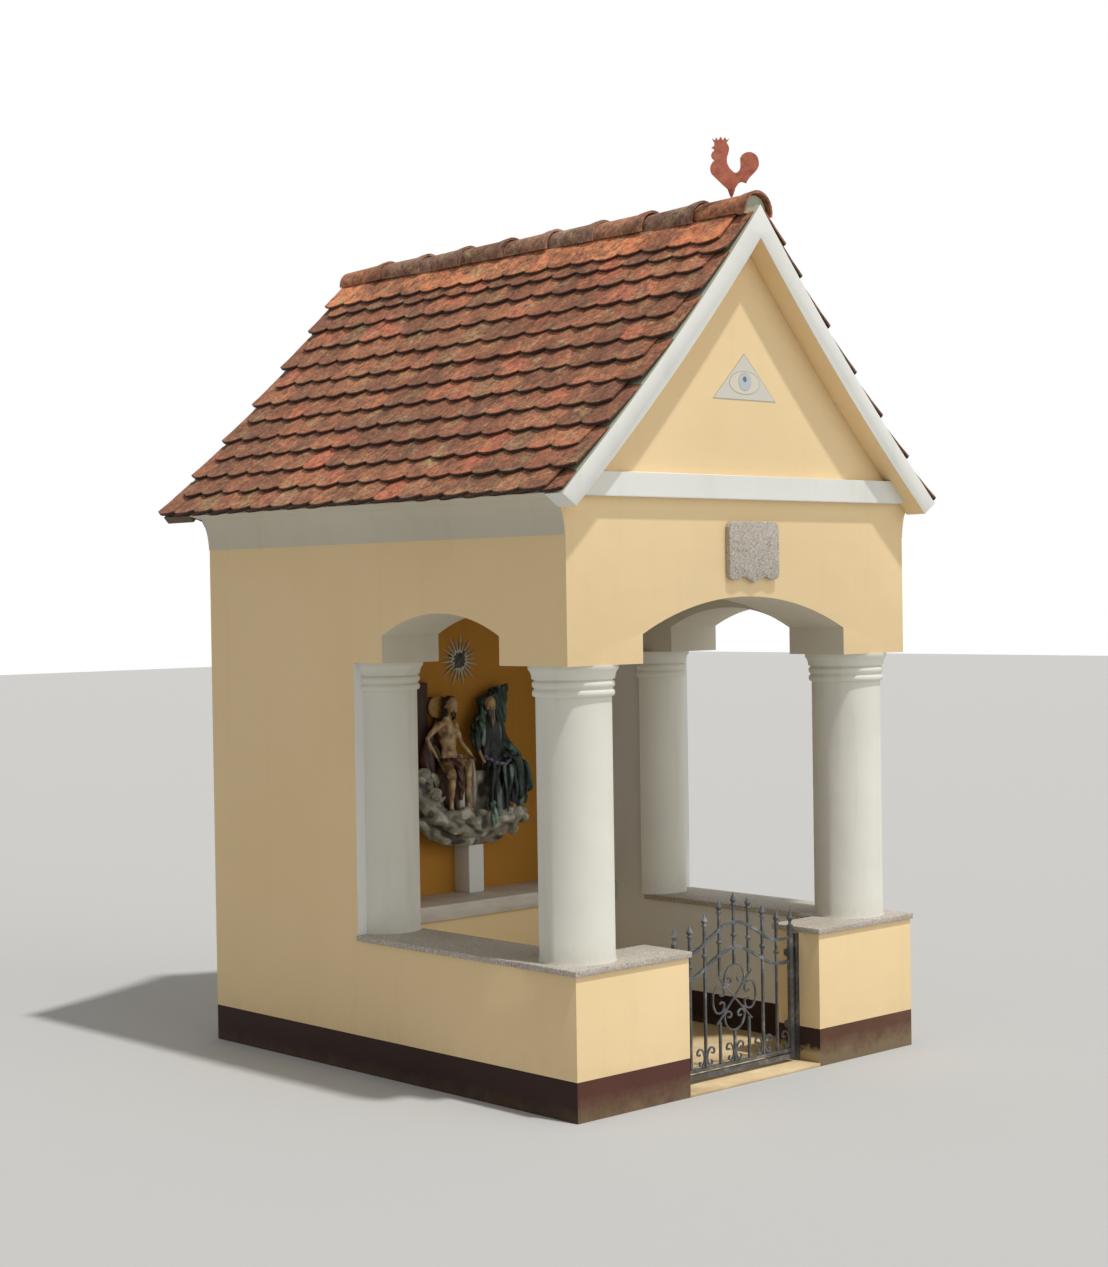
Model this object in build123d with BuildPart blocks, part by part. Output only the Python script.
from build123d import *
from math import asin, atan2, cos, hypot, pi, radians, sin, sqrt
import os

os.makedirs("parts", exist_ok=True)

# Wayside shrine: an open bay with a gate in front, a closed niche behind, under one tiled gable roof.
# Lengths in millimetres. +Z up, the gate front faces -Y, the origin lies on the ground
# under the middle of the outer wall faces.

# Walls
wall_width = 2460                # across the outer faces of the side walls
wall_depth = 2900                # from the front face to the rear face
wall_thickness = 370             # side walls and the upper walls over the arches
rear_wall_thickness = 660        # behind the niche
upper_setback = 24               # upper front wall behind the face of the parapets
parapet_height = 676             # low walls of the open bay, without the coping
front_parapet_thickness = 300
corner_pier = 430                # square pier under each front column
gate_opening = 962               # between the two front parapets
bay_depth = 1620                 # from the front face to the ends of the closed side walls
coping_thickness = 29
coping_overhang = 12
coping_joint = 3                 # open joint between two coping slabs
floor_thickness = 15

# Columns
column_radius = 181
column_inset = 230               # column axis behind the outer wall faces
column_sunk = 60                 # axis of the rear columns inside the ends of the side walls
column_height = 1395             # with the capital
capital_block = 65               # flared top of the capital
capital_block_reach = 34
bead_height = 33
bead_reach = 16
neck_height = 8                  # plain groove between two mouldings
neck_reach = 6

# Arches
front_arch_half_width = 738
front_arch_jamb = 140            # straight side below the curve
front_arch_rise = 170
side_arch_width = 890
side_arch_setback = 495          # near jamb behind the front face
side_arch_jamb = 140
side_arch_rise = 110
upper_wall_height = 788          # arch walls up to the foot of the front gable
ceiling_height = 360             # ceiling above the foot of the arch walls
ceiling_thickness = 50

# Roof
eave_above_wall = 8              # deck line at the eave above the foot of the front gable
roof_rise = 1437                 # deck line from the eave to the ridge
eave_reach = 132                 # deck line past the side wall face
roof_sag = 36                    # dip of each slope under its straight line
deck_thickness = 45
tile_thickness = 40
tile_eave_overhang = 34
verge_front_reach = 124          # front verge boards in front of the wall
verge_front_width = 106
verge_rear_thickness = 40
verge_rear_width = 55
verge_trim = 45                  # verge boards stop short of the eave
roof_front_reach = 110           # tiles in front of the wall
roof_rear_reach = 290            # tiles behind the wall
ridge_tile_count = 9
ridge_tile_radius = 125          # wide front end
ridge_tile_taper = 43            # how much smaller the rear end is
ridge_tile_thickness = 14
ridge_tile_lap = 45              # rear end under the next tile
ridge_bare = 58                  # top of the decks left bare under the ridge tiles, each side
ridge_cap = 70                   # ridge tiles above the deck line

# Cornices
side_cornice_drop = 188          # foot of the side cornice below the deck line at the eave
side_cornice_step = 14
side_cornice_fascia = 26
front_cornice_height = 120
front_cornice_reach = 104
front_cornice_step = 40
front_cornice_fascia = 40
front_cornice_slope = 15

# Plaque
plaque_width = 365
plaque_height = 307
plaque_thickness = 30
plaque_foot = 374                # lowest point above the foot of the arch walls
plaque_corner = 40
plaque_wave = 34
plaque_shift = 28                # to the right of the middle

# Altar and sculpture group
altar_depth = 370
altar_height = 672
altar_slab_thickness = 85
altar_slab_overhang = 20
support_width = 110
support_depth = 130
support_height = 270
cloud_foot_width = 330
cloud_foot_depth = 150
cloud_width = 840
cloud_depth = 250
cloud_height = 200               # floor of the cloud, under the feet
cloud_seat_width = 700
cloud_seat_depth = 130
cloud_seat_height = 225          # seat of the figures above the floor of the cloud
billow_x = -365                  # cloud that rises beside the left figure
billow_width = 140
billow_depth = 90
billow_setback = 90
billow_height = 255
seated_height = 648              # from the feet to the crown of the head
left_figure_x = -155
right_figure_x = 175
figure_setback = 90              # middle of the bodies in front of the rear wall
cross_x = -300
cross_height = 501               # above the seat
cross_board = 90
cross_thickness = 30
cross_arm_length = 330
cross_arm_drop = 130             # middle of the arms under the top
dove_above_slab = 1313
dove_span = 190
dove_thickness = 22
ray_length = 152
ray_root = 62
ray_count = 18
ray_thickness = 10

# Gate
gate_setback = 148               # gate plane behind the front face
stile_offset = 427               # stile axes from the middle of the gate
stile_width = 26
stile_depth = 20
stile_top = 719
floor_gap = 15                   # under the gate
lower_rail_height = 26
rail_gap = 12
upper_rail_height = 16
bar_width = 12                   # square bars
bar_knob = 24                    # swelling of a bar between the two bands
spear_length = 54
spear_width = 24
spear_reach = 150                # spear tips above the upper band
finial_height = 80
finial_width = 32
band_thickness = 16
band_depth = 14
upper_band_end = 652
upper_band_crown = 780
lower_band_end = 530
lower_band_crown = 652
ornament_height = 404            # middle of the scrollwork
ornament_reach = 165             # up and down to the ends of the middle bar
side_scroll_reach = 158
tail_run = 128                   # ends of the crossed tails, from the middle of the scrollwork
tail_rise = 123
collar_run = 70                  # collars that hold hearts, tails and side scrolls together
collar_rise = 64
collar_radius = 13
foot_scroll_height = 128         # middle of the scrolls beside the bars
scroll_thickness = 7
scroll_depth = 9
post_width = 25
post_top = 670
hinge_heights = (190, 560)
hinge_setback = 28               # hinge axis behind the gate plane
pin_radius = 6
pin_plate = 10                   # plate under each pin
pin_above_knuckle = 6
pin_clearance = 0.1
knuckle_radius = 11
knuckle_height = 30
hinge_play = 0.3

# Weathervane
vane_setback = 68                # spindle behind the upper front wall
vane_heading = 42.9              # degrees from +X to the sheet, turned to the left rear
spindle_radius = 5
spindle_height = 18              # above the ridge tiles
vane_bore_depth = 22             # of the cone over the spindle
vane_cone_tip_radius = 8
vane_cone_radius = 19
vane_cone_height = 32
vane_sheet_thickness = 5

# Worked out from the sizes above
face = wall_width / 2
inside = face - wall_thickness
front = -wall_depth / 2
rear = wall_depth / 2
upper_front = front + upper_setback
front_inside = upper_front + wall_thickness
rear_inside = rear - rear_wall_thickness
gate_half = gate_opening / 2
bay_end = front + bay_depth
coping_top = parapet_height + coping_thickness
arch_base = coping_top + column_height
wall_top = arch_base + upper_wall_height
ceiling_base = arch_base + ceiling_height
seat = 0.3                       # play between round pieces that rest on each other

eave_x = face + eave_reach
eave_height = wall_top + eave_above_wall
ridge_height = eave_height + roof_rise
ridge_top = ridge_height + ridge_cap
roof_chord = hypot(eave_x, roof_rise)
roof_radius = roof_chord ** 2 / (8 * roof_sag) + roof_sag / 2
roof_centre_x = eave_x / 2 + (roof_radius - roof_sag) * roof_rise / roof_chord
roof_centre_z = (ridge_height + eave_height) / 2 + (roof_radius - roof_sag) * eave_x / roof_chord
slope_start = atan2(ridge_height - roof_centre_z, -roof_centre_x)
slope_length = 2 * roof_radius * asin(roof_chord / (2 * roof_radius))
tiles_front = upper_front - roof_front_reach
tiles_rear = rear + roof_rear_reach
verge_front = upper_front - verge_front_reach
verge_back = tiles_rear - verge_rear_thickness
ridge_axis = ridge_top - ridge_tile_radius


def keep(piece, label):
    piece.part.label = label
    export_step(piece.part, f"parts/{label}.step")


def keep_pair(piece, label):
    # the right-hand piece and its mirror image on the left
    with BuildPart() as twin:
        mirror(piece.part, about=Plane.YZ)
    keep(piece, f"right_{label}")
    keep(twin, f"left_{label}")


def upright(y):
    # vertical plane facing the front, local x to the right and local y up
    return Plane.XZ.offset(-y)


def block(low, high):
    # straight box between two opposite corners
    size = [high[i] - low[i] for i in range(3)]
    with Locations(tuple(low)):
        Box(*size, align=(Align.MIN, Align.MIN, Align.MIN))


def slope_point(along, above):
    # point of the right-hand slope, by its distance from the ridge and above the deck line
    angle = slope_start + along / roof_radius
    reach = roof_radius - above
    return (roof_centre_x + reach * cos(angle), roof_centre_z + reach * sin(angle))


def slope_height(x, above):
    # height of the slope at a distance x from the ridge
    return roof_centre_z - sqrt((roof_radius - above) ** 2 - (x - roof_centre_x) ** 2)


def slope_face(low, high, end):
    # section of a layer on the right-hand slope, cut at the middle of the roof
    start = -(abs(low) + abs(high))
    middle = (start + end) / 2
    with BuildSketch() as section:
        with BuildLine():
            ThreePointArc(slope_point(start, high), slope_point(middle, high), slope_point(end, high))
            Line(slope_point(end, high), slope_point(end, low))
            ThreePointArc(slope_point(end, low), slope_point(middle, low), slope_point(start, low))
            Line(slope_point(start, low), slope_point(start, high))
        make_face()
        split(bisect_by=Plane.YZ, keep=Keep.TOP)
    return section.sketch


def gable_face(foot, half_width, above):
    # symmetrical wall section from a level foot up to the slopes
    middle = half_width / 2
    with BuildSketch() as section:
        with BuildLine():
            Line((-half_width, foot), (half_width, foot))
            Line((half_width, foot), (half_width, slope_height(half_width, above)))
            ThreePointArc(
                (half_width, slope_height(half_width, above)),
                (middle, slope_height(middle, above)),
                (0, slope_height(0, above)),
            )
            ThreePointArc(
                (0, slope_height(0, above)),
                (-middle, slope_height(middle, above)),
                (-half_width, slope_height(half_width, above)),
            )
            Line((-half_width, slope_height(half_width, above)), (-half_width, foot))
        make_face()
    return section.sketch


def arch_face(middle, half_width, jamb, rise):
    # opening with straight jambs and a flat round arch, standing on the foot of the arch walls
    spring = arch_base + jamb
    with BuildSketch() as section:
        with BuildLine():
            Polyline(
                (middle - half_width, spring),
                (middle - half_width, arch_base),
                (middle + half_width, arch_base),
                (middle + half_width, spring),
            )
            ThreePointArc(
                (middle + half_width, spring),
                (middle, spring + rise),
                (middle - half_width, spring),
            )
        make_face()
    return section.sketch


# Floor, let in between the walls and run out through the gate opening
with BuildPart() as floor_slab:
    parapet_back = front + front_parapet_thickness
    block((-inside, parapet_back, 0), (inside, rear_inside, floor_thickness))
    block((-gate_half, front, 0), (gate_half, parapet_back, floor_thickness))
    for side in (-1, 1):
        with Locations((side * face, front, 0)):
            Box(2 * corner_pier, 2 * corner_pier, 2 * floor_thickness, mode=Mode.SUBTRACT)
keep(floor_slab, "floor_slab")

# Front parapets, each with the square pier under its column
with BuildPart() as front_parapet:
    block((gate_half, front, 0), (face, front + front_parapet_thickness, parapet_height))
    block((face - corner_pier, front, 0), (face, front + corner_pier, parapet_height))
keep_pair(front_parapet, "front_parapet")

# Side parapets of the open bay
with BuildPart() as side_parapet:
    block((inside, front + corner_pier, 0), (face, bay_end, parapet_height))
keep_pair(side_parapet, "side_parapet")

# Granite coping: a corner slab over the front parapet and one along the side
with BuildPart() as coping:
    block(
        (gate_half - coping_overhang, front - coping_overhang, parapet_height),
        (face + coping_overhang, front + front_parapet_thickness + coping_overhang, coping_top),
    )
    block(
        (face - corner_pier, front, parapet_height),
        (face + coping_overhang, front + corner_pier, coping_top),
    )
    block(
        (inside - coping_overhang, front + corner_pier + coping_joint, parapet_height),
        (face + coping_overhang, bay_end, coping_top),
    )
keep_pair(coping, "coping")


def column_profile():
    # half section of a column: shaft, two beads and a flared block, as radii and heights
    block_foot = arch_base - capital_block
    upper_bead = block_foot - neck_height - bead_height
    lower_bead = upper_bead - neck_height - bead_height
    neck = column_radius + neck_reach
    crest = column_radius + bead_reach
    lip = column_radius + capital_block_reach
    outline = [(0, coping_top), (neck, coping_top), (column_radius, coping_top + 2 * neck_height)]
    outline.append((column_radius, lower_bead))
    for bead_foot in (lower_bead, upper_bead):
        for index in range(7):
            turn = pi * index / 6
            outline.append(
                (neck + (crest - neck) * sin(turn), bead_foot + bead_height * (1 - cos(turn)) / 2)
            )
    outline.append((neck, block_foot))
    for share, rise in ((0, 0), (0.12, 0.2), (0.3, 0.4), (0.6, 0.58), (1, 0.7)):
        outline.append((crest + (lip - crest) * share, block_foot + capital_block * rise))
    outline += [(lip, arch_base), (0, arch_base)]
    with BuildSketch() as section:
        with BuildLine():
            Polyline(*outline, close=True)
        make_face()
    return section.sketch


# Columns: full ones at the front corners, half engaged ones against the closed side walls
for place, column_y in (("front", front + column_inset), ("rear", bay_end + column_sunk)):
    with BuildPart() as column:
        with BuildSketch(Plane.XZ):
            add(column_profile())
        revolve(axis=Axis.Z)
    with BuildPart() as placed:
        with Locations((face - column_inset, column_y, 0)):
            add(column.part)
        if place == "rear":
            split(bisect_by=upright(bay_end), keep=Keep.TOP)
    keep_pair(placed, f"{place}_column")

# Closed side walls beside the niche
with BuildPart() as side_wall:
    block((inside, bay_end, 0), (face, rear_inside, arch_base))
keep_pair(side_wall, "side_wall")

# Rear wall
with BuildPart() as rear_wall:
    block((-face, rear_inside, 0), (face, rear, wall_top))
keep(rear_wall, "rear_wall")

# Front wall over the wide arch
with BuildPart() as front_arch_wall:
    block((-face, upper_front, arch_base), (face, front_inside, wall_top))
    with BuildSketch(upright(front_inside)):
        add(arch_face(0, front_arch_half_width, front_arch_jamb, front_arch_rise))
    extrude(amount=wall_thickness, mode=Mode.SUBTRACT)
keep(front_arch_wall, "front_arch_wall")

# Side walls over the bay, up to the roof deck
with BuildPart() as side_arch_wall:
    with BuildSketch(upright(rear_inside)):
        with BuildLine():
            middle_x = (inside + face) / 2
            Polyline(
                (inside, slope_height(inside, -deck_thickness)),
                (inside, arch_base),
                (face, arch_base),
                (face, slope_height(face, -deck_thickness)),
            )
            ThreePointArc(
                (face, slope_height(face, -deck_thickness)),
                (middle_x, slope_height(middle_x, -deck_thickness)),
                (inside, slope_height(inside, -deck_thickness)),
            )
        make_face()
    extrude(amount=rear_inside - front_inside)
    side_arch_middle = front + side_arch_setback + side_arch_width / 2
    with BuildSketch(Plane.YZ.offset(inside)):
        add(arch_face(side_arch_middle, side_arch_width / 2, side_arch_jamb, side_arch_rise))
    extrude(amount=wall_thickness, mode=Mode.SUBTRACT)
keep_pair(side_arch_wall, "side_arch_wall")

# Ceiling over the bay and the niche
with BuildPart() as ceiling:
    block((-inside, front_inside, ceiling_base), (inside, rear_inside, ceiling_base + ceiling_thickness))
keep(ceiling, "ceiling")

# Gables, front and rear
for name, gable_back in (("front_gable", front_inside), ("rear_gable", rear)):
    with BuildPart() as gable:
        with BuildSketch(upright(gable_back)):
            add(gable_face(wall_top, face, -deck_thickness))
        extrude(amount=wall_thickness)
    keep(gable, name)

# Roof decks, cut upright over the side walls, where the side cornices carry the eaves,
# and run down to the eave behind the rear wall
with BuildPart() as roof_deck:
    with BuildSketch(upright(verge_back)):
        add(slope_face(-deck_thickness, 0, slope_length))
    extrude(amount=verge_back - upper_front)
    with Locations((face, rear, arch_base)):
        Box(
            wall_width,
            2 * wall_depth,
            ridge_height,
            align=(Align.MIN, Align.MAX, Align.MIN),
            mode=Mode.SUBTRACT,
        )
keep_pair(roof_deck, "roof_deck")

# Tile layer on each slope, stopped under the ridge tiles
with BuildPart() as tile_field:
    with BuildSketch(upright(tiles_rear)):
        add(slope_face(0, tile_thickness, slope_length + tile_eave_overhang))
        with Locations((0, ridge_axis)):
            Rectangle(2 * ridge_bare, 4 * ridge_tile_radius, mode=Mode.SUBTRACT)
    extrude(amount=tiles_rear - tiles_front)
keep_pair(tile_field, "tile_field")

# Tapered ridge tiles: the wide front end of each laps over the narrow rear end before it
ridge_pitch = (tiles_rear - tiles_front - ridge_tile_lap) / ridge_tile_count
ridge_tile_length = ridge_pitch + ridge_tile_lap
vane_y = upper_front + vane_setback
with BuildPart() as ridge_tiles:
    for index in range(ridge_tile_count):
        tile_end = tiles_front + index * ridge_pitch + ridge_tile_length
        with Locations(Location((0, tile_end, ridge_axis), (90, 0, 0))):
            Cone(
                ridge_tile_radius - ridge_tile_taper,
                ridge_tile_radius,
                ridge_tile_length,
                align=(Align.CENTER, Align.CENTER, Align.MIN),
            )
    for index in range(ridge_tile_count):
        tile_end = tiles_front + index * ridge_pitch + ridge_tile_length
        with Locations(Location((0, tile_end, ridge_axis), (90, 0, 0))):
            Cone(
                ridge_tile_radius - ridge_tile_taper - ridge_tile_thickness,
                ridge_tile_radius - ridge_tile_thickness,
                ridge_tile_length,
                align=(Align.CENTER, Align.CENTER, Align.MIN),
                mode=Mode.SUBTRACT,
            )
    with BuildSketch(upright(tiles_rear)):
        add(gable_face(wall_top, face / 2, tile_thickness + seat))
        with Locations((0, ridge_axis)):
            Rectangle(2 * (ridge_bare - seat), 4 * ridge_tile_radius, mode=Mode.SUBTRACT)
        Rectangle(2 * ridge_bare, 2 * ridge_axis)
    extrude(amount=tiles_rear - tiles_front, mode=Mode.SUBTRACT)
    with Locations((0, vane_y, ridge_axis)):
        Cylinder(
            spindle_radius + seat,
            2 * ridge_tile_radius,
            align=(Align.CENTER, Align.CENTER, Align.MIN),
            mode=Mode.SUBTRACT,
        )
keep(ridge_tiles, "ridge_tiles")

# Verge boards along both slopes, joined at the ridge
verge_parts = (
    ("front_verge", verge_front, upper_front, verge_front_width),
    ("rear_verge", verge_back, tiles_rear, verge_rear_width),
)
for name, verge_start, verge_end, width in verge_parts:
    with BuildPart() as verge:
        with BuildSketch(upright(verge_end)):
            add(slope_face(-width, 0, slope_length - verge_trim))
        extrude(amount=verge_end - verge_start)
        mirror(about=Plane.YZ)
    keep(verge, name)

# Coved side cornices under the eaves
with BuildPart() as side_cornice:
    cornice_foot = eave_height - side_cornice_drop
    cove_start = (face + side_cornice_step, cornice_foot + side_cornice_step)
    cove_end = (eave_x, eave_height - side_cornice_fascia)
    cove_middle = (
        cove_start[0] + (cove_end[0] - cove_start[0]) * 0.36,
        cove_start[1] + (cove_end[1] - cove_start[1]) * 0.62,
    )
    with BuildSketch(upright(rear)):
        with BuildLine():
            Polyline(
                (face, slope_height(face, 0)),
                (face, cornice_foot),
                (face + side_cornice_step, cornice_foot),
                cove_start,
            )
            ThreePointArc(cove_start, cove_middle, cove_end)
            Line(cove_end, (eave_x, eave_height))
            ThreePointArc(
                (eave_x, eave_height),
                (face + eave_reach / 2, slope_height(face + eave_reach / 2, 0)),
                (face, slope_height(face, 0)),
            )
        make_face()
    extrude(amount=rear - upper_front)
keep_pair(side_cornice, "side_cornice")

# Front cornice across the foot of the gable, fitted between the verge boards
with BuildPart() as front_cornice:
    cornice_top = wall_top + front_cornice_height
    cornice_lip = upper_front - front_cornice_reach
    cornice_step = upper_front - front_cornice_step
    cove_foot = wall_top + side_cornice_step
    cove_head = cornice_top - front_cornice_slope - front_cornice_fascia
    with BuildSketch(Plane.YZ.offset(-face)):
        with BuildLine():
            Polyline(
                (upper_front, cornice_top),
                (upper_front, wall_top),
                (cornice_step, wall_top),
                (cornice_step, cove_foot),
            )
            ThreePointArc(
                (cornice_step, cove_foot),
                (cornice_step * 0.65 + cornice_lip * 0.35, cove_foot * 0.4 + cove_head * 0.6),
                (cornice_lip, cove_head),
            )
            Polyline(
                (cornice_lip, cove_head),
                (cornice_lip, cornice_top - front_cornice_slope),
                (upper_front, cornice_top),
            )
        make_face()
    extrude(amount=wall_width)
    with BuildSketch(upright(upper_front)):
        add(gable_face(arch_base, face, -verge_front_width))
    extrude(amount=front_cornice_reach, mode=Mode.INTERSECT)
keep(front_cornice, "front_cornice")

# Granite plaque with round upper corners and a waved foot
with BuildPart() as plaque:
    plaque_half = plaque_width / 2
    plaque_tip = arch_base + plaque_foot
    plaque_top = plaque_tip + plaque_height
    plaque_side = plaque_tip + plaque_wave
    with BuildSketch(upright(upper_front).move(Location((plaque_shift, 0, 0)))):
        with BuildLine():
            Line((0, plaque_top), (plaque_half - plaque_corner, plaque_top))
            RadiusArc(
                (plaque_half - plaque_corner, plaque_top),
                (plaque_half, plaque_top - plaque_corner),
                plaque_corner,
            )
            Line((plaque_half, plaque_top - plaque_corner), (plaque_half, plaque_side))
            ThreePointArc(
                (plaque_half, plaque_side),
                (plaque_half * 0.72, plaque_side - plaque_wave * 0.5),
                (plaque_half * 0.5, plaque_side),
            )
            ThreePointArc(
                (plaque_half * 0.5, plaque_side),
                (plaque_half * 0.2, plaque_tip + plaque_wave * 0.62),
                (0, plaque_tip),
            )
            mirror(about=Plane.YZ)
        make_face()
    extrude(amount=plaque_thickness)
keep(plaque, "plaque")

# Altar block with its stone slab
altar_front = rear_inside - altar_depth
with BuildPart() as altar_block:
    block((-inside, altar_front, floor_thickness), (inside, rear_inside, altar_height))
keep(altar_block, "altar_block")
altar_top = altar_height + altar_slab_thickness
with BuildPart() as altar_slab:
    block((-inside, altar_front - altar_slab_overhang, altar_height), (inside, rear_inside, altar_top))
keep(altar_slab, "altar_slab")

# Support of the sculpture group
cloud_foot = altar_top + support_height
with BuildPart() as group_support:
    block(
        (-support_width / 2, rear_inside - support_depth, altar_top),
        (support_width / 2, rear_inside, cloud_foot),
    )
keep(group_support, "group_support")


def oval(x, setback, height, width, depth):
    # level ten-sided section of a carved form, its middle at a distance in front of the rear wall
    turns = [2 * pi * index / 10 for index in range(10)]
    middle = rear_inside - setback
    with BuildSketch(Plane.XY.offset(height)) as section:
        with BuildLine():
            corners = [(x + width / 2 * cos(turn), middle + depth / 2 * sin(turn)) for turn in turns]
            Polyline(*corners, close=True)
        make_face()
    return section.sketch


# Cloud bank that carries the figures: a bowl, a seat behind their knees and a billow on the left
cloud_top = cloud_foot + cloud_height
seat_top = cloud_top + cloud_seat_height
with BuildPart() as cloud_bank:
    loft(
        [
            oval(0, cloud_foot_depth / 2, cloud_foot, cloud_foot_width, cloud_foot_depth),
            oval(0, cloud_depth / 2, cloud_foot + cloud_height * 0.45, cloud_width * 0.86, cloud_depth * 0.9),
            oval(0, cloud_depth / 2, cloud_top, cloud_width, cloud_depth),
        ],
        ruled=True,
    )
    loft(
        [
            oval(0, cloud_seat_depth / 2, cloud_foot + cloud_height / 2, cloud_seat_width, cloud_seat_depth),
            oval(0, cloud_seat_depth / 2, seat_top, cloud_seat_width * 0.94, cloud_seat_depth * 0.9),
        ],
        ruled=True,
    )
    billow = [
        oval(
            billow_x,
            billow_setback,
            cloud_top + billow_height * level,
            billow_width * swelling,
            billow_depth * swelling,
        )
        for level, swelling in ((-0.15, 0.7), (0.35, 1), (0.75, 0.85), (1, 0.35))
    ]
    loft(billow, ruled=True)
keep(cloud_bank, "cloud_bank")

# The figures follow the sculptor's canon: all places and widths are given in head heights,
# from the middle of the feet, and a seated body is six heads high
head = seated_height / 6


def carved(figure_x, sections):
    # body through level sections: x, setback, height, width and depth
    rings = []
    for x, back, up, wide, deep in sections:
        setback = figure_setback + back * head
        rings.append(oval(figure_x + x * head, setback, cloud_top + up * head, wide * head, deep * head))
    loft(rings, ruled=True)


def limb(figure_x, joints):
    # tapering six-sided limb through its joints: x, setback, height and radius
    spots = [
        Vector(figure_x + x * head, rear_inside - figure_setback - back * head, cloud_top + up * head)
        for x, back, up, _ in joints
    ]
    sections = []
    for index, spot in enumerate(spots):
        along = spots[min(index + 1, len(spots) - 1)] - spots[max(index - 1, 0)]
        across = Plane(origin=spot, x_dir=along.cross(Vector(1, 0, 0)), z_dir=along)
        with BuildSketch(across) as section:
            RegularPolygon(joints[index][3] * head, 6)
        sections.append(section.sketch)
    loft(sections, ruled=True)


def carved_head(figure_x, x, back):
    # chin, cheeks, temples, brow and crown
    carved(
        figure_x,
        [
            (x, back, 5.0, 0.3, 0.34),
            (x, back, 5.15, 0.54, 0.62),
            (x, back, 5.5, 0.68, 0.82),
            (x, back, 5.8, 0.62, 0.72),
            (x, back, 6.0, 0.26, 0.32),
        ],
    )


# Left figure: bare body on the seat, one knee higher, one arm hanging and one on the lap
with BuildPart() as seated_figure_left:
    carved(
        left_figure_x,
        [
            (0, 0, 2.0, 1.25, 0.84),
            (0, 0, 2.8, 1.1, 0.8),
            (0, 0, 3.3, 0.84, 0.6),
            (-0.15, 0, 4.2, 1.24, 0.76),
            (-0.18, 0, 4.6, 1.44, 0.6),
            (-0.12, 0, 4.75, 0.6, 0.44),
            (0.08, 0, 5.1, 0.38, 0.4),
        ],
    )
    carved_head(left_figure_x, 0.1, 0.05)
    limb(left_figure_x, [(-0.3, 0, 2.5, 0.34), (-0.49, 0.85, 1.95, 0.24), (-0.5, 0.7, -0.1, 0.14)])
    limb(left_figure_x, [(0.3, 0, 2.5, 0.34), (0.55, 0.85, 2.5, 0.24), (0.64, 0.7, -0.1, 0.14)])
    limb(left_figure_x, [(-0.72, 0, 4.45, 0.2), (-1.72, 0.2, 3.85, 0.16), (-1.2, 0.5, 2.85, 0.1)])
    limb(left_figure_x, [(0.42, 0, 4.4, 0.2), (0.72, 0.25, 3.45, 0.16), (1.1, 0.6, 2.8, 0.1)])
    # end of the cloth over the seat
    limb(left_figure_x, [(0.6, 0, 2.4, 0.34), (0.9, 0.2, 1.2, 0.3), (0.8, 0.3, -0.1, 0.34)])
    add(cloud_bank.part, mode=Mode.SUBTRACT)
keep(seated_figure_left, "seated_figure_left")

# Right figure: wide robe over the knees and the seat, beard, and a mantle drawn to a point
with BuildPart() as seated_figure_right:
    carved(
        right_figure_x,
        [
            (0.5, 0.15, -0.5, 1.8, 1.0),
            (0.66, 0.15, -0.05, 2.6, 1.1),
            (0.95, 0.15, 1.2, 3.1, 1.15),
            (0.8, 0.15, 1.9, 2.9, 1.1),
            (0.33, 0.1, 2.6, 2.3, 1.0),
            (0.1, 0, 3.1, 2.1, 0.9),
            (-0.38, 0, 3.9, 2.6, 0.9),
            (-0.5, 0, 4.5, 2.2, 0.75),
            (-0.52, -0.1, 5.1, 1.8, 0.6),
            (-0.4, -0.2, 5.5, 1.6, 0.5),
            (-0.25, -0.2, 5.85, 1.1, 0.35),
        ],
    )
    carved_head(right_figure_x, -0.33, 0.1)
    limb(right_figure_x, [(0.3, 0, 2.4, 0.42), (0.23, 0.85, 2.0, 0.36), (-0.1, 0.85, -0.1, 0.3)])
    limb(
        right_figure_x,
        [(-0.2, 0, 2.4, 0.42), (-0.73, 0.9, 1.95, 0.34), (-1.0, 1.15, 0.3, 0.3), (-1.2, 1.35, -0.9, 0.2)],
    )
    limb(right_figure_x, [(-0.95, 0, 4.5, 0.3), (-1.65, 0.3, 3.7, 0.22), (-1.45, 0.6, 2.75, 0.13)])
    limb(right_figure_x, [(-0.4, 0.35, 5.2, 0.26), (-0.46, 0.45, 4.15, 0.12)])
    limb(right_figure_x, [(-0.3, -0.1, 5.2, 0.48), (0.45, -0.1, 5.8, 0.42), (1.15, -0.1, 6.4, 0.12)])
    add(cloud_bank.part, mode=Mode.SUBTRACT)
keep(seated_figure_right, "seated_figure_right")

# Wooden cross on the rear wall, behind the left figure
cross_top = seat_top + cross_height
with BuildPart() as cross:
    block(
        (cross_x - cross_board / 2, rear_inside - cross_thickness, seat_top),
        (cross_x + cross_board / 2, rear_inside, cross_top),
    )
    with Locations((cross_x, rear_inside, cross_top - cross_arm_drop)):
        Box(cross_arm_length, cross_thickness, cross_board, align=(Align.CENTER, Align.MAX, Align.CENTER))
keep(cross, "cross")

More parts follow.
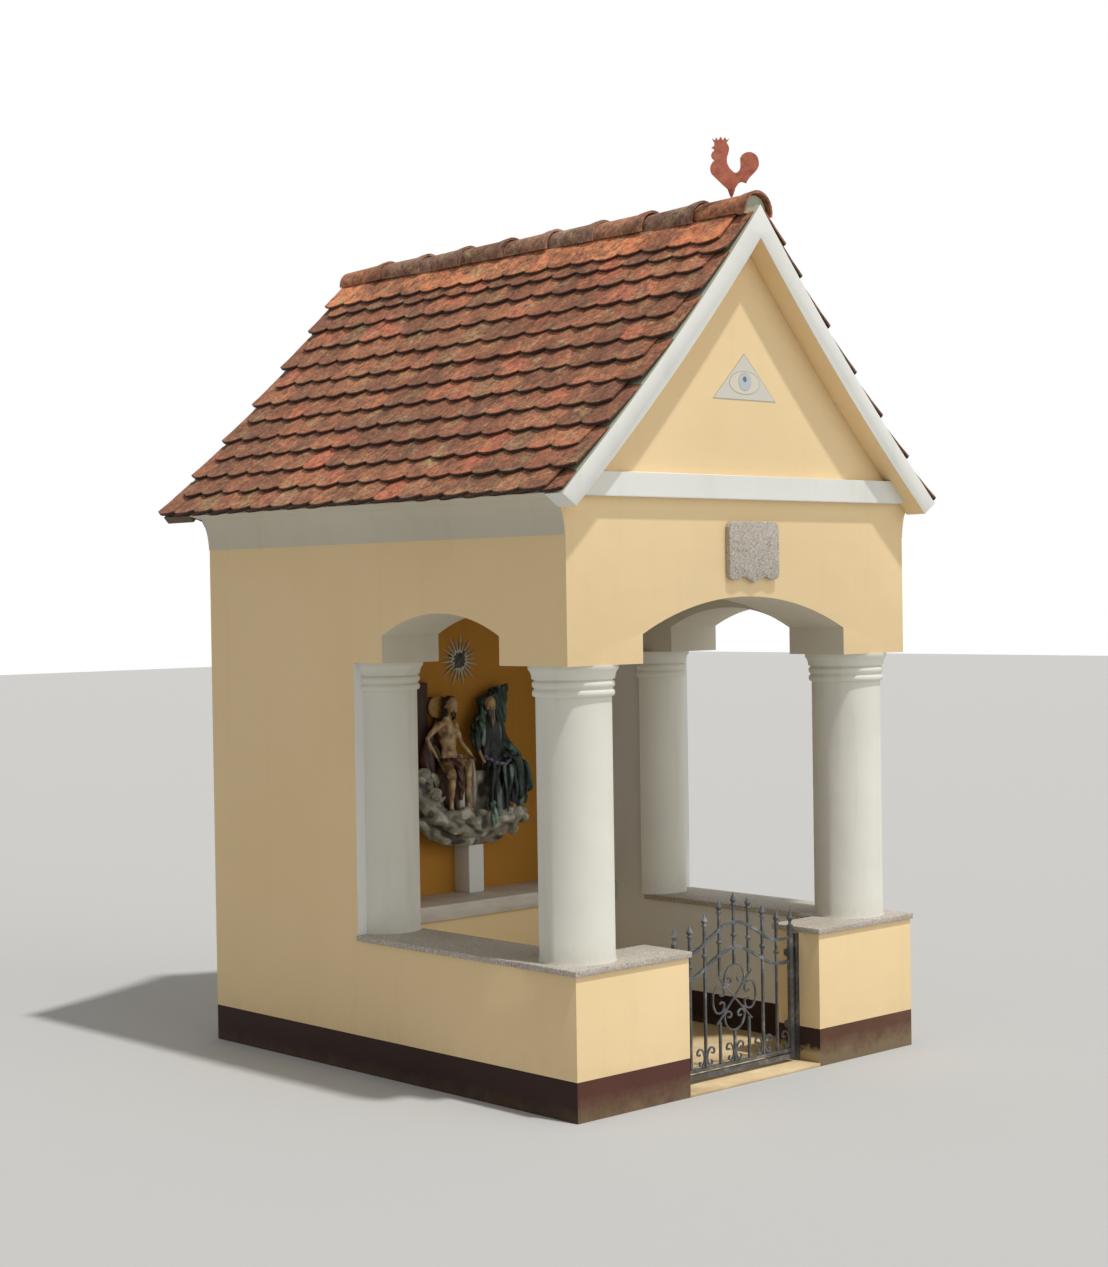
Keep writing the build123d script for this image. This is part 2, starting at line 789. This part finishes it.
# Dove in flight on a star of rays, hung on the rear wall
dove_height = altar_top + dove_above_slab
with BuildPart() as dove:
    with BuildSketch(upright(rear_inside)):
        with BuildLine():
            star = []
            for index in range(2 * ray_count):
                reach = ray_root if index % 2 else ray_length
                turn = pi * index / ray_count
                star.append((reach * cos(turn), dove_height + reach * sin(turn)))
            Polyline(*star, close=True)
        make_face()
    extrude(amount=ray_thickness)
    wing = dove_span / 2
    with BuildSketch(upright(rear_inside - ray_thickness)):
        with BuildLine():
            wing_tip = (wing, dove_height + wing * 0.6)
            tail_root = (wing * 0.25, dove_height - wing * 0.3)
            Spline((0, dove_height + wing * 0.1), (wing * 0.55, dove_height + wing * 0.55), wing_tip)
            Spline(wing_tip, (wing * 0.6, dove_height), tail_root)
            Polyline(tail_root, (wing * 0.35, dove_height - wing * 0.9), (0, dove_height - wing * 0.8))
            mirror(about=Plane.YZ)
        make_face()
    extrude(amount=dove_thickness - ray_thickness)
keep(dove, "dove")

# Gate: every piece lies in one upright plane
gate_y = front + gate_setback
rail_foot = floor_thickness + floor_gap
rail_top = rail_foot + lower_rail_height
upper_rail_foot = rail_top + rail_gap
bars_foot = upper_rail_foot + upper_rail_height
bar_pitch = stile_offset / 4
stile_half = stile_width / 2
gate_side = stile_offset - stile_half        # inner faces of the stiles


def band_height(x, end, crown):
    # arched band: level near the stiles, round over the middle
    share = max(0.0, 1 - abs(x) / (3 * bar_pitch))
    return end + (crown - end) * (3 * share ** 2 - 2 * share ** 3) ** 0.8


def forged_stack(x, sides, levels):
    # upright piece of the gate through level sections, each a height and a width across
    sections = []
    for height, width in levels:
        with BuildSketch(Plane.XY.offset(height)) as section:
            with Locations((x, gate_y)):
                RegularPolygon(width / 2, sides, major_radius=False, rotation=180 / sides)
        sections.append(section.sketch)
    loft(sections, ruled=True)


with BuildPart() as gate_frame:
    for side in (-1, 1):
        stile_x = side * stile_offset
        block(
            (stile_x - stile_half, gate_y - stile_depth / 2, rail_foot),
            (stile_x + stile_half, gate_y + stile_depth / 2, stile_top),
        )
        finial = []
        for up, wide in ((0, 0.56), (0.15, 0.38), (0.42, 1), (0.72, 0.5), (1, 0.06)):
            finial.append((stile_top + finial_height * up, finial_width * wide))
        forged_stack(stile_x, 8, finial)
    for low, high in ((rail_foot, rail_top), (upper_rail_foot, bars_foot)):
        block(
            (-gate_side, gate_y - stile_depth / 2, low),
            (gate_side, gate_y + stile_depth / 2, high),
        )
    for end, crown in ((upper_band_end, upper_band_crown), (lower_band_end, lower_band_crown)):
        with BuildSketch(upright(gate_y + band_depth / 2)):
            with BuildLine():
                spots = [gate_side * index / 6 for index in range(-6, 7)]
                Spline(*[(spot, band_height(spot, end, crown)) for spot in spots])
            trace(line_width=band_thickness)
            Rectangle(2 * gate_side, 4 * crown, mode=Mode.INTERSECT)
        extrude(amount=band_depth)
    # the middle bar and the two beside it are broken by the scrollwork
    tail_slope = tail_rise / tail_run
    tail_cover = scroll_thickness / 2 * hypot(1, tail_slope)
    break_reach = {
        0: ornament_reach + scroll_thickness / 2 + seat,
        1: (bar_pitch + bar_width / 2) * tail_slope + tail_cover + seat,
    }
    for index in range(-3, 4):
        bar_x = index * bar_pitch
        upper_band = band_height(bar_x, upper_band_end, upper_band_crown)
        lower_band = band_height(bar_x, lower_band_end, lower_band_crown)
        tip = upper_band + spear_reach
        knob = (upper_band + lower_band) / 2
        start = bars_foot
        if abs(index) in break_reach:
            reach = break_reach[abs(index)]
            forged_stack(bar_x, 4, [(start, bar_width), (ornament_height - reach, bar_width)])
            start = ornament_height + reach
        forged_stack(
            bar_x,
            4,
            [
                (start, bar_width),
                (knob - bar_knob / 2, bar_width),
                (knob, bar_knob),
                (knob + bar_knob / 2, bar_width),
                (tip - spear_length * 1.3, bar_width),
                (tip - spear_length * 1.15, spear_width * 0.9),
                (tip - spear_length, bar_width),
                (tip - spear_length * 0.7, spear_width),
                (tip, 1),
            ],
        )
keep(gate_frame, "gate_frame")


def curl(x, height, side, up, bends):
    # strip from a level or upright start through arcs that tighten into a scroll:
    # each bend is a radius and an angle; side and up mirror it
    point = (x, height)
    direction = (side, 0) if x == 0 else (0, up)
    turning = -side * up if x == 0 else side * up
    with BuildLine() as path:
        for radius, angle in bends:
            arc = JernArc(start=point, tangent=direction, radius=radius, arc_size=turning * angle)
            point, direction = arc @ 1, arc % 1
    trace(path.line, line_width=scroll_thickness)


# Scrollwork: crossed tails with a heart above and one below, a double scroll at each side,
# collars where they meet, and small double scrolls beside the bars at the foot of the gate
with BuildPart() as gate_scrolls:
    with BuildSketch(upright(gate_y + scroll_depth / 2)):
        for side, up in ((-1, -1), (-1, 1), (1, -1), (1, 1)):
            heart_tip = ornament_height + up * ornament_reach
            curl(0, heart_tip, side, up, [(73, 90), (25, 150), (13, 180)])
            curl(side * side_scroll_reach, ornament_height, side, up, [(95, 35), (36, 150), (17, 150)])
            with BuildLine() as tail:
                Line((0, ornament_height), (side * tail_run, ornament_height + up * tail_rise))
            trace(tail.line, line_width=scroll_thickness)
            with Locations((side * collar_run, ornament_height + up * collar_rise)):
                Circle(collar_radius)
        with Locations((0, ornament_height)):
            Circle(collar_radius)
        bar_gap = bar_width / 2 + seat + scroll_thickness / 2
        stile_gap = seat + scroll_thickness / 2
        for side in (-1, 1):
            backs = [index * bar_pitch + side * bar_gap for index in (-2, 0, 2)]
            backs.append(-side * gate_side + side * stile_gap)
            for back in backs:
                curl(back, foot_scroll_height, -side, 1, [(60, 45), (20, 140), (10, 160)])
                curl(back, foot_scroll_height, -side, -1, [(50, 40), (14, 130), (8, 120)])
    extrude(amount=scroll_depth)
keep(gate_scrolls, "gate_scrolls")

# Gate posts on the parapet ends; the right one carries the two pins
hinge_x = stile_offset + stile_half - 2
hinge_y = gate_y + hinge_setback
for side, name in ((-1, "left_gate_post"), (1, "right_gate_post")):
    with BuildPart() as gate_post:
        outer = side * gate_half
        inner = side * (gate_half - post_width)
        block(
            (min(outer, inner), gate_y - post_width / 2, floor_thickness),
            (max(outer, inner), gate_y + post_width / 2, post_top),
        )
        if side == 1:
            for height in hinge_heights:
                block(
                    (hinge_x, gate_y + post_width / 2, height - pin_plate),
                    (inner + post_width, hinge_y + knuckle_radius, height),
                )
                with Locations((hinge_x, hinge_y, height)):
                    Cylinder(knuckle_radius, pin_plate, align=(Align.CENTER, Align.CENTER, Align.MAX))
                    Cylinder(
                        pin_radius,
                        knuckle_height + pin_above_knuckle,
                        align=(Align.CENTER, Align.CENTER, Align.MIN),
                    )
    keep(gate_post, name)

# Knuckles of the gate, over the pins
with BuildPart() as gate_knuckles:
    for height in hinge_heights:
        foot = height + hinge_play
        block(
            (stile_offset - stile_half, gate_y + stile_depth / 2, foot),
            (hinge_x - pin_radius - 1, hinge_y + knuckle_radius / 2, foot + knuckle_height),
        )
        with Locations((hinge_x, hinge_y, foot)):
            Cylinder(knuckle_radius, knuckle_height, align=(Align.CENTER, Align.CENTER, Align.MIN))
            Cylinder(
                pin_radius + pin_clearance,
                knuckle_height,
                align=(Align.CENTER, Align.CENTER, Align.MIN),
                mode=Mode.SUBTRACT,
            )
keep(gate_knuckles, "gate_knuckles")

# Spindle of the weathervane, let through the first ridge tile down to the decks
spindle_top = ridge_top + spindle_height
with BuildPart() as vane_spindle:
    with Locations((0, vane_y, ridge_height)):
        Cylinder(
            spindle_radius,
            spindle_top - ridge_height,
            align=(Align.CENTER, Align.CENTER, Align.MIN),
        )
keep(vane_spindle, "vane_spindle")

# Weathervane: a bored cone turning on the spindle, with the cut sheet bird on top
with BuildPart() as vane_bird:
    cone_foot = spindle_top + hinge_play - vane_bore_depth
    sheet_foot = cone_foot + vane_cone_height
    with Locations((0, vane_y, cone_foot)):
        Cone(
            vane_cone_tip_radius,
            vane_cone_radius,
            vane_cone_height,
            align=(Align.CENTER, Align.CENTER, Align.MIN),
        )
        Cylinder(
            spindle_radius + pin_clearance,
            vane_bore_depth,
            align=(Align.CENTER, Align.CENTER, Align.MIN),
            mode=Mode.SUBTRACT,
        )
    sheet_plane = Plane(
        origin=(0, vane_y, sheet_foot),
        x_dir=(cos(radians(vane_heading)), -sin(radians(vane_heading)), 0),
        z_dir=(-sin(radians(vane_heading)), -cos(radians(vane_heading)), 0),
    )
    with BuildSketch(sheet_plane):
        with BuildLine():
            Polyline((-18, 0), (-53, 33), (-96, 76))
            ThreePointArc((-96, 76), (-103, 113), (-82, 145))
            ThreePointArc((-82, 145), (-97, 177), (-84, 192))
            Polyline((-84, 192), (-84, 200), (-97, 208), (-82, 217), (-82, 232))
            Polyline((-82, 232), (-93, 253), (-77, 244), (-73, 260), (-62, 244), (-50, 262), (-39, 244))
            Polyline((-39, 244), (-29, 260), (-20, 244), (-6, 253), (-21, 231))
            throat = [(-21, 231), (-10, 191), (-20, 154), (-17, 125), (4, 93)]
            Spline(*throat, (22, 82), (41, 96), (46, 131), (45, 154))
            ThreePointArc((45, 154), (91, 184), (136, 145))
            Spline((136, 145), (128, 96), (96, 62), (75, 29))
            Polyline((75, 29), (50, 36), (36, 30), (16, 0), (-18, 0))
        make_face()
    extrude(amount=vane_sheet_thickness / 2, both=True)
keep(vane_bird, "vane_bird")
